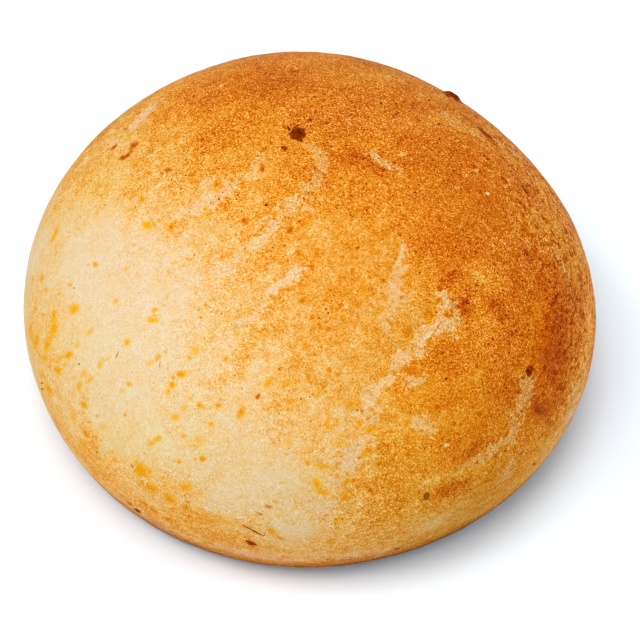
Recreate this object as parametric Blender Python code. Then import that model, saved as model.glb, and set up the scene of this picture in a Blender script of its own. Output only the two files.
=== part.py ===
import math

import bpy
import bmesh
import numpy as np
from mathutils import Vector, noise

# Round bun with a domed crown, a side that draws in to a flat baked base, and a crust with
# shallow wrinkles and small baked marks. All sizes are in millimetres until the mesh is made.
# The crown is at +Z, the base lies on the XY plane.

MM = 0.001

WIDEST_RADIUS = 42.5
HEIGHT = 47.0
WIDEST_HEIGHT = 13.0
BASE_TUCK = 3.3
RIM_ROUNDING = 1.3

# Waves round the bun and the cosine and sine share that each adds to the radius
OUTLINE_WAVES = {2: (0.0057, -0.0148), 3: (0.0071, -0.0052), 4: (0.0068, -0.0017)}

# Cells of the crown patch each way, rows of the side under it, and rings of the base
CROWN_CELLS = 34
SIDE_ROWS = 25
BASE_RINGS = (0.985, 0.6)

# Wavelength and height of the swells of the crust, each from its own region of the noise
SWELLS = ((30.0, 0.14, 11.0), (14.0, 0.09, 23.0), (7.0, 0.05, 37.0))

# Wrinkles: the points each runs through, its half width and its depth
WRINKLES = (
    (((-17.7, -5.8, 43.5), (-8.3, -2.4, 46.3)), 2.2, 0.16),
    (((-11.7, -16.8, 42.7), (-7.7, -14.7, 44.2)), 1.6, 0.20),
    (((-4.7, -20.9, 42.3), (-0.9, -18.8, 43.5)), 1.5, 0.22),
    (((-9.6, -24.7, 39.5), (-6.3, -23.4, 40.8)), 1.5, 0.16),
    (((13.6, -13.3, 43.5), (12.6, -19.9, 41.3)), 1.7, 0.26),
    (((19.3, -19.5, 39.1), (16.3, -24.2, 37.7), (13.3, -27.7, 36.4)), 1.9, 0.30),
    (((13.3, -27.7, 36.4), (8.8, -32.3, 33.7), (6.1, -35.4, 30.8)), 2.2, 0.30),
    (((32.0, -24.3, 25.3), (28.5, -30.5, 20.2), (22.5, -35.0, 19.6)), 2.0, 0.26),
)

# Wavelength and share of the unevenness along the wrinkles
WANDER_LENGTH = 3.0
WANDER = 0.5

# Raised and sunken marks: centre, half length, half width, turn in degrees from the level
# line through the centre, and height. A height under zero is a pit.
MARKS = {
    "blister": ((22.1, 26.3, 31.9), 1.5, 0.9, 0.0, 0.45),
    "crown_crumb": ((-1.5, 5.2, 46.7), 1.3, 1.0, 40.0, 0.28),
    "side_crumb": ((-8.2, -41.2, 9.9), 0.9, 0.6, 0.0, 0.22),
    "side_pit": ((17.1, -38.3, 17.1), 0.8, 0.8, 0.0, -0.30),
    "crown_dash": ((27.0, 14.2, 36.2), 1.2, 0.6, -60.0, 0.22),
}
MARK_REACH = 1.9
MARK_CUTS = 3

# Height over the base where the crust's relief is at full strength
RELIEF_START = 3.0


def plan_radius(around):
    """Radius of the widest ring at an angle around Z."""
    share = 1.0
    for count, (cosine, sine) in OUTLINE_WAVES.items():
        share += cosine * math.cos(count * around) + sine * math.sin(count * around)
    return WIDEST_RADIUS * share


def crown_profile(lean):
    """Share of the radius and the height at a lean from the crown's middle, 0 to 90 degrees."""
    return math.sin(lean), WIDEST_HEIGHT + (HEIGHT - WIDEST_HEIGHT) * math.cos(lean)


def side_inset(height):
    """How far the side lies inside the widest ring at a height under it."""
    tuck = BASE_TUCK * ((WIDEST_HEIGHT - height) / WIDEST_HEIGHT) ** 2
    below = max(0.0, RIM_ROUNDING - height)
    return tuck + RIM_ROUNDING - math.sqrt(RIM_ROUNDING**2 - below**2)


def profile_heights():
    """Travel along the profile from the crown's middle to the base, as a table of
    (travel, radius share, height, inset)."""
    table = []
    for step in range(181):
        share, height = crown_profile(math.radians(step / 2))
        table.append((share, height, 0.0))
    for step in range(1, 241):
        # The heights bunch towards the base, where the rounding turns quickly
        height = WIDEST_HEIGHT * (1 - step / 240) ** 1.6
        table.append((1.0, height, side_inset(height)))
    rows = np.array(table)
    across = rows[:, 0] * WIDEST_RADIUS - rows[:, 2]
    steps = np.hypot(np.diff(across), np.diff(rows[:, 1]))
    return np.column_stack([np.concatenate([[0.0], np.cumsum(steps)]), rows])


PROFILE = profile_heights()
PROFILE_LENGTH = PROFILE[-1, 0]


def surface_point(around, travel):
    """Point of the smooth bun at an angle around Z and a travel down the profile."""
    share, height, inset = (
        float(np.interp(travel, PROFILE[:, 0], PROFILE[:, column])) for column in (1, 2, 3)
    )
    radius = plan_radius(around) * share - inset
    return Vector((radius * math.cos(around), radius * math.sin(around), height))


def crown_patch_place(column, row):
    """Angle around Z and share of the quarter turn for one corner of the crown patch. The patch
    is the top face of a cube, wrapped on the dome with even angles."""
    across = math.tan((2 * column / CROWN_CELLS - 1) * math.pi / 4)
    along = math.tan((2 * row / CROWN_CELLS - 1) * math.pi / 4)
    lean = math.atan(math.hypot(across, along))
    return math.atan2(along, across), lean / (math.pi / 2)


def crown_edge():
    """Corners along the edge of the crown patch, in one walk round it."""
    last = CROWN_CELLS
    walk = [(column, 0) for column in range(last)]
    walk += [(last, row) for row in range(last)]
    walk += [(column, last) for column in range(last, 0, -1)]
    walk += [(0, row) for row in range(last, 0, -1)]
    return walk


def side_travels(start):
    """Travels of the side's rows, from the crown patch's edge to the base. The last rows are
    close together, to carry the rounding of the rim."""
    rim_rows = [PROFILE_LENGTH - RIM_ROUNDING * back for back in (1.5, 0.95, 0.45, 0.0)]
    upper = SIDE_ROWS - len(rim_rows)
    stop = rim_rows[0]
    rows = [start + (stop - start) * step / (upper + 1) for step in range(1, upper + 1)]
    return rows + rim_rows


def smooth_bun():
    """Closed quad mesh of the bun with no relief."""
    mesh = bmesh.new()
    quarter = float(PROFILE[180, 0])
    corner = {}
    for column in range(CROWN_CELLS + 1):
        for row in range(CROWN_CELLS + 1):
            around, share = crown_patch_place(column, row)
            corner[column, row] = mesh.verts.new(surface_point(around, share * quarter))
    for column in range(CROWN_CELLS):
        for row in range(CROWN_CELLS):
            mesh.faces.new(
                (
                    corner[column, row],
                    corner[column + 1, row],
                    corner[column + 1, row + 1],
                    corner[column, row + 1],
                )
            )

    walk = crown_edge()
    angles = []
    travels = []
    for place in walk:
        around, share = crown_patch_place(*place)
        angles.append(around)
        travels.append(side_travels(share * quarter))
    above = [corner[place] for place in walk]
    for row in range(SIDE_ROWS):
        below = [
            mesh.verts.new(surface_point(around, own[row])) for around, own in zip(angles, travels)
        ]
        join_rings(mesh, above, below)
        above = below
    for share in BASE_RINGS:
        below = [mesh.verts.new((v.co.x * share, v.co.y * share, 0.0)) for v in above]
        join_rings(mesh, above, below)
        above = below
    middle = mesh.verts.new((0.0, 0.0, 0.0))
    for index, vert in enumerate(above):
        mesh.faces.new((vert, above[index - 1], middle))
    bmesh.ops.recalc_face_normals(mesh, faces=mesh.faces)
    return mesh


def join_rings(mesh, above, below):
    """Row of quads between two rings of the same count."""
    for index in range(len(above)):
        mesh.faces.new((above[index - 1], above[index], below[index], below[index - 1]))


def refine_at_marks(mesh):
    """Finer cells round each mark, so that the mark keeps its form."""
    for centre, length, width, turn, height in MARKS.values():
        reach = max(length, width) * MARK_REACH
        near = {
            edge
            for edge in mesh.edges
            if ((edge.verts[0].co + edge.verts[1].co) / 2 - Vector(centre)).length < reach
        }
        bmesh.ops.subdivide_edges(mesh, edges=list(near), cuts=MARK_CUTS, use_grid_fill=True)


def distance_to_run(point, run):
    """Distance from a point to the polyline through the run's points."""
    least = math.inf
    for start, end in zip(run, run[1:]):
        start = Vector(start)
        span = Vector(end) - start
        along = min(1.0, max(0.0, (point - start).dot(span) / span.length_squared))
        least = min(least, (point - start - span * along).length)
    return least


def bump(distance):
    """Smooth hump that is 1 at the middle and 0 from a distance of 1 outwards."""
    return (1 - distance**2) ** 2 if distance < 1 else 0.0


def mark_height(point, mark):
    """Height that one mark adds at a point."""
    centre, length, width, turn, height = mark
    offset = point - Vector(centre)
    if offset.length > 2 * length:
        return 0.0
    outward = Vector((centre[0], centre[1], centre[2] - WIDEST_HEIGHT)).normalized()
    level = Vector((0, 0, 1)).cross(outward).normalized()
    upward = outward.cross(level)
    angle = math.radians(turn)
    along = offset.dot(level * math.cos(angle) + upward * math.sin(angle)) / length
    across = offset.dot(upward * math.cos(angle) - level * math.sin(angle)) / width
    return height * bump(math.hypot(along, across))


def relief(point):
    """Height of the crust over the smooth bun at a point of it."""
    height = 0.0
    for wavelength, swell, region in SWELLS:
        height += swell * noise.noise(point / wavelength + Vector((region, region, region)))
    # The noise makes each wrinkle's edge and depth uneven along its run
    wander = noise.noise(point / WANDER_LENGTH + Vector((5, 9, 2)))
    for run, half_width, depth in WRINKLES:
        near = distance_to_run(point, run) / (half_width * (1 + WANDER * wander))
        height -= depth * (1 + WANDER * wander) * bump(near)
    for mark in MARKS.values():
        height += mark_height(point, mark)
    return height


def add_relief(mesh):
    """Moves each point of the crust along its normal. Points near the base move level, so the
    base stays flat."""
    mesh.normal_update()
    moves = []
    for vert in mesh.verts:
        if vert.co.z < 1e-6 and math.hypot(vert.co.x, vert.co.y) < 0.85 * WIDEST_RADIUS:
            continue
        strength = min(1.0, vert.co.z / RELIEF_START)
        direction = Vector((vert.normal.x, vert.normal.y, vert.normal.z * strength))
        moves.append((vert, direction * relief(vert.co)))
    for vert, move in moves:
        vert.co += move


def seat(mesh):
    """Puts the bounding box's bottom centre on the origin."""
    points = np.array([vert.co for vert in mesh.verts])
    low, high = points.min(axis=0), points.max(axis=0)
    shift = Vector(((low[0] + high[0]) / 2, (low[1] + high[1]) / 2, low[2]))
    for vert in mesh.verts:
        vert.co = (vert.co - shift) * MM


def crust_material():
    """Golden baked crust."""
    material = bpy.data.materials.new("crust")
    material.use_nodes = True
    shader = material.node_tree.nodes["Principled BSDF"]
    shader.inputs["Base Color"].default_value = (0.78, 0.42, 0.12, 1.0)
    shader.inputs["Roughness"].default_value = 0.6
    return material


for leftover in list(bpy.data.objects):
    bpy.data.objects.remove(leftover)

bun_mesh = smooth_bun()
refine_at_marks(bun_mesh)
add_relief(bun_mesh)
seat(bun_mesh)

data = bpy.data.meshes.new("bun")
bun_mesh.to_mesh(data)
bun_mesh.free()
for polygon in data.polygons:
    polygon.use_smooth = True
bun = bpy.data.objects.new("bun", data)
bun.data.materials.append(crust_material())
bpy.context.scene.collection.objects.link(bun)
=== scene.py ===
import math
import random

import bmesh
import bpy
import numpy as np
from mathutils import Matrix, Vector, noise
from mathutils.bvhtree import BVHTree


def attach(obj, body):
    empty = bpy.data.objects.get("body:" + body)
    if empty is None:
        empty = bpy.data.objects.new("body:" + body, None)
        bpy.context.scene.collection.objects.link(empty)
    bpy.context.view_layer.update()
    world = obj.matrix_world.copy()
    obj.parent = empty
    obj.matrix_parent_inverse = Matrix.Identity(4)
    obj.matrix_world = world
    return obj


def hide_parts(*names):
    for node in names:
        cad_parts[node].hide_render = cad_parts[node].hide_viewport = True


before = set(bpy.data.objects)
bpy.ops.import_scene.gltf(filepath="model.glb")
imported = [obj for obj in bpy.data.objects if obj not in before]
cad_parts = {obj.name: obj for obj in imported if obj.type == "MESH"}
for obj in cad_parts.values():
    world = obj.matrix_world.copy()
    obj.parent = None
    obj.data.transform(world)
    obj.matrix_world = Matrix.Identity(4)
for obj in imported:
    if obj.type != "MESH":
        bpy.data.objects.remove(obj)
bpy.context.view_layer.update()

# lengths below are in millimetres, colours are the usual 0 to 255 screen values
mm = 0.001

# long lens, 50 degrees over the table
view = {
    "aim": (1.58, -7.89, 19.74),    # the point that sits in the middle of the picture
    "away": 620.0,
    "height": 50.0,                 # degrees
    "lens": 235.24,
    "sensor": 36.0,
    "picture": 640,                 # pixels across
    "clip": (0.01, 20.0),           # metres
}
tilt = math.radians(view["height"])
viewRight = np.array([1.0, 0.0, 0.0])
viewUp = np.array([0.0, math.sin(tilt), math.cos(tilt)])
viewInto = np.array([0.0, math.cos(tilt), -math.sin(tilt)])
viewFrom = np.array(view["aim"]) - viewInto * view["away"]
focal = view["lens"] / view["sensor"] * view["picture"]
pixel = view["away"] / focal        # one picture pixel on the bun, in mm
veryFar = 1e9                       # a distance that is always beaten


def screenColour(rgb):
    # screen value to the linear value that the shader wants
    out = []
    for v in rgb:
        v = v / 255
        out.append(v / 12.92 if v <= 0.04045 else ((v + 0.055) / 1.055) ** 2.4)
    return (*out, 1.0)


def smoothStep(low, high, values):
    t = np.clip((values - low) / (high - low), 0, 1)
    return t * t * (3 - 2 * t)


def grainNoise(points, size, octaves, shift):
    # soft noise in about -1..1, size is the width of its lumps. Each octave is half as strong
    finer, weaker = 2.03, 0.5
    move = Vector((shift, shift * 0.7, -shift))
    out = np.zeros(len(points))
    for i, p in enumerate(points):
        v = Vector(p) / size + move
        total, strength = 0.0, 1.0
        for _ in range(octaves):
            total += strength * noise.noise(v)
            v = v * finer
            strength *= weaker
        out[i] = total
    return out


def stretchAlong(points, degrees, amount):
    # squeezes the points along a level direction, so noise made on them is drawn out that way
    a = math.radians(degrees)
    along = points[:, 0] * math.cos(a) + points[:, 1] * math.sin(a)
    across = points[:, 1] * math.cos(a) - points[:, 0] * math.sin(a)
    return np.stack([along / amount, across, points[:, 2]], 1)


def towards(rise, around):
    # the direction at a height and a turn, both in radians
    level = math.cos(rise)
    return Vector((level * math.cos(around), level * math.sin(around), math.sin(rise)))


# crust mesh: the solid's faces, joined to quads and split twice
crust = {
    "merge": 1e-6,                  # metres
    "joinAngles": (40, 60),         # how bent and how skewed a quad may be, degrees
    "splits": 2,
    "lumps": ((2.6, 0.060, 3.0), (1.4, 0.040, 8.0)),    # width, height, noise shift
    "lumpsBaked": (0.0, 0.5),       # browning at which they grow from the pale share to all
    "paleLumps": 0.5,
    "levelBelow": 1.0,              # they fade out under this height
    # small bumps: pixel x, y, length and width in mm, turn in degrees, height in mm
    "bumps": (
        (452, 97, 1.4, 1.15, -31, 0.62),    # the blister on the outline
        (297, 134, 1.1, 1.0, -28, 0.16),
        (529, 371, 0.9, 0.7, 65, 0.12),
    ),
}


def makeCrustMesh():
    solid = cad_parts["bun"]
    bm = bmesh.new()
    bm.from_mesh(solid.data)
    bmesh.ops.remove_doubles(bm, verts=bm.verts, dist=crust["merge"])
    bent, skewed = crust["joinAngles"]
    bmesh.ops.join_triangles(
        bm, faces=bm.faces, angle_face_threshold=math.radians(bent),
        angle_shape_threshold=math.radians(skewed),
    )
    coarse = bpy.data.meshes.new("crustCoarse")
    bm.to_mesh(coarse)
    quads = sum(len(f.verts) == 4 for f in bm.faces)
    print("crust: joined to", quads, "quads of", len(bm.faces), "faces")
    bm.free()
    piece = bpy.data.objects.new("crust", coarse)
    bpy.context.scene.collection.objects.link(piece)
    split = piece.modifiers.new("split", "SUBSURF")
    split.levels = split.render_levels = crust["splits"]
    graph = bpy.context.evaluated_depsgraph_get()
    fine = bpy.data.meshes.new_from_object(piece.evaluated_get(graph))
    piece.modifiers.clear()
    piece.data = fine
    fine.shade_smooth()
    return piece


bun = makeCrustMesh()
mesh = bun.data
mesh.calc_loop_triangles()
print("crust: split to", len(mesh.vertices), "points and", len(mesh.loop_triangles), "triangles")

points = np.empty(len(mesh.vertices) * 3)
mesh.vertices.foreach_get("co", points)
points = points.reshape(-1, 3) / mm
normals = np.empty(len(mesh.vertices) * 3)
mesh.vertex_normals.foreach_get("vector", normals)
normals = normals.reshape(-1, 3)
surface = BVHTree.FromPolygons(
    [Vector(p) for p in points], [tuple(f.vertices) for f in mesh.polygons], epsilon=0.0,
)


def onCrust(x, y):
    # the place on the crust that shows at a pixel of the photograph, and the way it faces
    half = view["picture"] / 2
    ray = viewInto + (x - half) / focal * viewRight + (half - y) / focal * viewUp
    ray = Vector(ray).normalized()
    place, facing, _, _ = surface.ray_cast(Vector(viewFrom), ray)
    if place is None:
        place, facing, _, _ = surface.find_nearest(Vector(viewFrom) + ray * view["away"])
    return np.array(place), np.array(facing)


# how far the crust is baked: 0 is pale dough, 1 is dark brown
baking = {
    "hotSide": (0.80, 0.44, 0.38),      # direction from the pale side to the browned side
    "paleAt": -29.0,                    # along that direction, from the middle of the picture
    "brownAt": 34.0,
    "least": -0.03,
    "most": 0.72,
    # places that differ: pixel x, y, reach in mm, how much more or less they are baked
    "patches": (
        (566, 345, 7, 0.16),            # deep brown right flank
        (245, 85, 9, 0.23),             # browned shoulder at the top left
        (400, 180, 10, 0.05),
        (455, 410, 8, 0.22),            # orange field low on the right
        (400, 500, 11, 0.17),
        (395, 420, 5, -0.17),           # pale wedge that runs into it
        (330, 370, 12, 0.13),
        (185, 160, 11, 0.14),           # golden band on the left shoulder
        (75, 165, 6, 0.20),
        (150, 262, 9, -0.08),           # palest dough on the left
        (40, 330, 6, 0.22),             # golden left rim
        (500, 235, 7, 0.10),
        (402, 303, 5, -0.16),           # paler round the long streak
        (305, 500, 7, -0.12),           # palest dough, low in the middle
        (110, 125, 6, 0.16),            # browned left limb
        (50, 235, 5, 0.10),
        (175, 485, 7, 0.10),
        (585, 395, 5, -0.24),           # lighter low right rim
        (560, 435, 6, -0.14),
        (370, 535, 8, 0.18),            # browned low front
    ),
    # clouds seen in the picture: pixel x, y, length, width, turn in degrees, more or less baked
    "clouds": (
        (105, 470, 110, 30, -48, 0.30), (190, 524, 110, 28, -25, 0.34),
        (275, 550, 100, 22, -8, 0.30), (358, 155, 30, 16, 0, 0.26), (371, 166, 24, 9, -35, 0.26),
        (330, 184, 10, 8, 0, 0.20), (406, 88, 26, 8, -14, 0.08), (222, 145, 60, 26, 10, 0.15),
        (288, 168, 34, 30, 0, 0.10), (270, 206, 16, 22, 0, 0.16), (463, 305, 13, 19, 0, 0.38),
        (492, 305, 19, 16, 0, 0.30), (501, 318, 15, 10, 0, 0.32), (450, 276, 18, 12, 20, 0.20),
        (516, 334, 28, 12, 8, 0.12), (558, 308, 30, 64, 8, 0.20), (556, 356, 28, 60, 12, 0.22),
        (554, 392, 24, 40, 12, 0.20), (540, 409, 26, 20, 20, 0.42), (475, 447, 24, 9, 50, 0.26),
        (455, 458, 10, 7, 0, 0.20), (448, 491, 36, 13, 30, 0.30), (472, 480, 26, 9, 25, 0.12),
        (411, 368, 17, 9, 0, 0.28), (442, 352, 52, 16, 32, 0.08), (506, 386, 28, 28, 0, 0.14),
        (388, 448, 30, 24, 20, 0.14), (396, 504, 32, 18, 20, 0.08), (246, 352, 30, 34, 0, 0.14),
        (90, 440, 26, 40, 20, 0.08), (210, 520, 50, 12, -10, 0.14), (318, 545, 60, 14, 0, 0.10),
        (405, 540, 70, 10, 16, 0.05), (118, 144, 40, 20, 30, -0.14), (229, 342, 11, 11, 0, -0.10),
        (270, 474, 28, 13, 0, -0.10), (485, 275, 38, 28, 0, -0.14), (548, 235, 26, 46, 20, -0.12),
        (328, 240, 18, 34, 45, -0.12), (170, 445, 24, 30, 0, -0.08), (265, 128, 36, 12, 0, -0.12),
        (472, 132, 40, 12, -38, -0.10), (357, 168, 10, 8, 0, 0.10), (440, 245, 60, 50, 0, -0.10),
        (120, 155, 130, 60, 42, 0.09), (55, 400, 80, 36, 78, 0.12), (305, 170, 80, 44, 0, 0.07),
        (275, 258, 70, 44, -30, 0.05), (515, 175, 70, 44, -45, 0.08), (535, 455, 90, 40, 50, 0.10),
        (215, 338, 70, 40, 0, 0.08), (220, 540, 110, 26, -12, 0.06), (430, 370, 40, 30, 0, -0.08),
        (410, 486, 70, 36, 20, -0.17), (185, 95, 60, 30, 40, 0.08), (245, 215, 40, 36, 0, 0.07),
        (220, 188, 40, 20, 20, -0.08), (420, 246, 44, 30, 0, 0.12), (455, 262, 60, 50, 0, 0.10),
        (190, 245, 36, 26, 0, 0.10), (115, 172, 110, 40, 25, 0.07), (85, 415, 60, 50, 80, 0.10),
        (168, 487, 60, 26, -20, 0.13), (250, 525, 50, 30, 0, 0.08), (290, 548, 70, 20, -6, -0.10),
        (430, 515, 60, 30, 25, -0.08), (310, 258, 90, 44, 0, -0.05), (400, 392, 26, 30, 30, 0.08),
        (515, 485, 60, 30, 45, -0.08), (118, 135, 44, 30, 40, 0.09), (175, 124, 56, 18, 0, -0.11),
        (250, 505, 30, 70, 0, 0.06), (180, 180, 36, 20, 20, 0.08), (275, 112, 70, 44, 0, -0.10),
        (490, 332, 56, 26, 20, -0.12), (548, 458, 70, 44, 50, -0.17),
        (495, 185, 70, 36, -30, -0.07), (430, 478, 60, 20, 30, -0.07), (462, 492, 26, 14, 30, 0.12),
        (215, 540, 30, 16, -20, -0.08), (165, 525, 50, 14, -30, 0.08), (266, 540, 26, 14, 0, 0.08),
        (360, 76, 150, 40, -12, -0.08), (340, 105, 80, 40, 0, 0.03), (92, 470, 90, 12, -48, 0.20),
        (58, 424, 60, 13, -61, 0.11), (37, 369, 60, 10, -75, 0.10), (180, 531, 70, 15, -26, 0.16),
        (433, 528, 90, 17, 20, -0.10), (370, 155, 70, 26, 0, 0.05), (460, 185, 30, 30, 0, 0.08),
        (400, 215, 34, 34, 0, -0.08), (312, 245, 34, 34, 0, 0.07), (520, 275, 30, 34, 0, 0.07),
        (400, 305, 30, 34, 0, -0.08), (520, 335, 34, 34, 0, 0.07), (250, 397, 34, 34, 0, -0.07),
        (340, 515, 34, 26, 0, 0.08), (400, 515, 34, 26, 0, 0.07), (430, 515, 30, 26, 0, -0.07),
        (305, 545, 44, 20, 0, -0.08), (590, 330, 18, 100, 0, -0.14), (458, 385, 50, 90, 0, -0.08),
        (462, 275, 30, 26, 0, -0.08), (582, 245, 24, 44, 0, -0.18), (370, 305, 24, 30, 0, 0.08),
        (310, 185, 24, 24, 0, 0.07),
    ),
    # the three lists below are laid out in the same way
    # painted light and, below 0, painted shade
    "paintedLightAndShade": (
        (440, 528, 170, 60, 24, -0.16), (520, 345, 110, 110, 0, 0.07), (430, 420, 110, 90, 0, 0.06),
        (290, 548, 180, 36, 0, -0.06), (586, 285, 26, 170, 0, 0.10), (300, 66, 260, 34, 4, -0.06),
        (553, 203, 110, 20, -58, 0.13), (588, 335, 100, 13, 82, 0.12), (128, 111, 140, 10, 38, -0.16),
        (240, 60, 130, 12, 14, -0.14), (375, 63, 130, 11, -18, -0.10), (552, 330, 36, 110, 0, 0.16),
        (270, 120, 330, 120, 0, -0.04), (485, 492, 90, 34, 40, -0.09), (508, 160, 100, 60, -45, 0.05),
        (590, 310, 130, 9, 87, 0.09), (165, 531, 110, 9, -32, -0.10), (255, 561, 90, 9, -10, 0.06),
    ),
    # yellower areas (less blue) and, below 0, pinker ones; the pinker rows along the outlines are
    # painted sheen
    "goldsAndPaintedSheen": (
        (465, 440, 190, 150, 30, 0.21), (548, 325, 40, 110, 0, 0.6), (350, 158, 170, 60, 0, 0.12),
        (235, 105, 100, 44, 0, 0.17), (100, 187, 100, 44, 30, 0.08), (175, 250, 140, 110, 0, -0.05),
        (135, 445, 120, 60, 0, 0.08), (45, 335, 50, 120, 80, 0.08), (425, 100, 100, 44, -25, -0.22),
        (515, 170, 100, 60, -45, -0.22), (290, 64, 220, 24, 0, -0.25),
        (165, 531, 120, 12, -32, -0.45), (262, 559, 120, 14, -12, -0.35), (350, 562, 120, 14, 6, -0.35),
        (589, 300, 120, 16, 88, -0.45), (574, 404, 100, 36, 70, -0.32), (572, 222, 90, 16, 112, -0.45),
    ),
    # areas with more grain and, below 0, with less
    "grains": (
        (335, 365, 130, 100, 0, -0.28), (455, 410, 120, 90, 0, -0.36), (170, 160, 100, 70, 30, 0.15),
        (330, 535, 280, 60, 0, 0.45), (340, 110, 140, 60, 0, 0.12), (460, 205, 90, 70, 0, -0.16),
        (548, 345, 50, 140, 0, -0.35), (355, 265, 150, 100, 0, -0.36), (430, 490, 110, 60, 0, -0.14),
        (195, 350, 130, 220, 0, 0.38), (125, 470, 70, 60, 0, 0.30), (540, 240, 60, 90, 0, 0.10),
    ),
    "cloudFall": 0.8,                   # how fast a cloud fades in the picture
    "cloudDepth": 18.0,                 # and away from the camera, mm
    "wander": (3.0, 60.0, 7.0),         # width and shifts of the noise that frays the clouds
    "mottle": ((6.5, 0.090, 21.0), (3.2, 0.135, 33.0)),     # width, strength, noise shift
    "mottleTurn": 38,                   # level direction it is drawn out in
    "mottleStretch": 1.8,
    "mottleBaked": (-0.05, 0.35),       # browning at which it grows from the pale share to all
    "paleMottle": 0.5,
    "rimHeight": (2.4, 6.4),            # browned rim over the base
    "rimWaver": (1.1, 4.0, 5.0),        # height, width and shift of the noise in its edge
    "rimTone": 0.60,
    "baseHeight": (0.0, 0.6),
    "baseTone": 0.66,
    # painted shade where the base curves under towards the table
    "contactShade": (0.40, 2.0, 1.6),        # darker close to the table: amount, height, fade
    "contactShadeLeast": 0.5,
    "wornSide": (0.94, 0.20, 0.05),     # the skin that faces this way is wrinkled
    "wornRange": (0.48, 0.78),
    "wornHeight": (1.0, 5.0),
}


def pictureAxes(turn):
    a = math.radians(turn)
    return viewRight * math.cos(a) + viewUp * math.sin(a), viewUp * math.cos(a) - viewRight * math.sin(a)


def cloudAt(points, x, y, length, width, turn):
    # 1 in the middle of a soft oval cloud as the picture shows it, 0 away from it
    place, _ = onCrust(x, y)
    axisA, axisB = pictureAxes(turn)
    offset = points - place
    far = (offset @ axisA / (length * pixel / 2)) ** 2 + (offset @ axisB / (width * pixel / 2)) ** 2
    depth = (offset @ viewInto / baking["cloudDepth"]) ** 2
    return np.exp(-baking["cloudFall"] * far - depth)


def cloudSum(points, rows):
    out = np.zeros(len(points))
    for x, y, length, width, turn, amount in rows:
        out += amount * cloudAt(points, x, y, length, width, turn)
    return out


def bakingOf(points):
    # from one side to the other, then the places that differ, the mottle, the rim and the base
    hot = np.array(baking["hotSide"])
    hot /= np.linalg.norm(hot)
    along = (points - np.array(view["aim"])) @ hot
    rise = smoothStep(baking["paleAt"], baking["brownAt"], along)
    baked = baking["least"] + (baking["most"] - baking["least"]) * rise
    for x, y, reach, amount in baking["patches"]:
        place, _ = onCrust(x, y)
        far = ((points - place) ** 2).sum(1)
        baked += amount * np.exp(-far / (2 * reach**2))
    width, first, step = baking["wander"]
    wander = [grainNoise(points, width, 1, first + step * k) for k in range(3)]
    baked += cloudSum(points + np.stack(wander, 1), baking["clouds"])
    pale = baking["paleMottle"]
    uneven = pale + (1 - pale) * smoothStep(*baking["mottleBaked"], baked)
    drawn = stretchAlong(points, baking["mottleTurn"], baking["mottleStretch"])
    for width, strength, shift in baking["mottle"]:
        baked += strength * grainNoise(drawn, width, 1, shift) * uneven
    high, width, shift = baking["rimWaver"]
    edge = points[:, 2] + high * grainNoise(points, width, 2, shift)
    rim = 1 - smoothStep(*baking["rimHeight"], edge)
    baked += (baking["rimTone"] - baked) * rim
    under = 1 - smoothStep(*baking["baseHeight"], points[:, 2])
    return baked + (baking["baseTone"] - baked) * under


def paintedShadingOf(points):
    # painted shade near the table, plus the rows of painted light and shade
    amount, height, fade = baking["contactShade"]
    contactShade = 1 - amount * np.exp((height - points[:, 2]) / fade)
    return np.clip(contactShade, baking["contactShadeLeast"], 1) + cloudSum(points, baking["paintedLightAndShade"])


def wornOf(points, normals):
    side = np.array(baking["wornSide"])
    worn = smoothStep(*baking["wornRange"], normals @ (side / np.linalg.norm(side)))
    return worn * smoothStep(*baking["wornHeight"], points[:, 2])


baked = bakingOf(points)
# painted light and shade that the crust's colour is multiplied by
paintedShading = paintedShadingOf(points)
# above 1 along the outlines this is a painted sheen
cool = 1 - cloudSum(points, baking["goldsAndPaintedSheen"])        # share of the blue that stays
rough = 1 + cloudSum(points, baking["grains"])      # strength of the grain
worn = wornOf(points, normals)                      # strength of the wrinkles
print("baking: from", round(float(baked.min()), 2), "to", round(float(baked.max()), 2))


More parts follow.
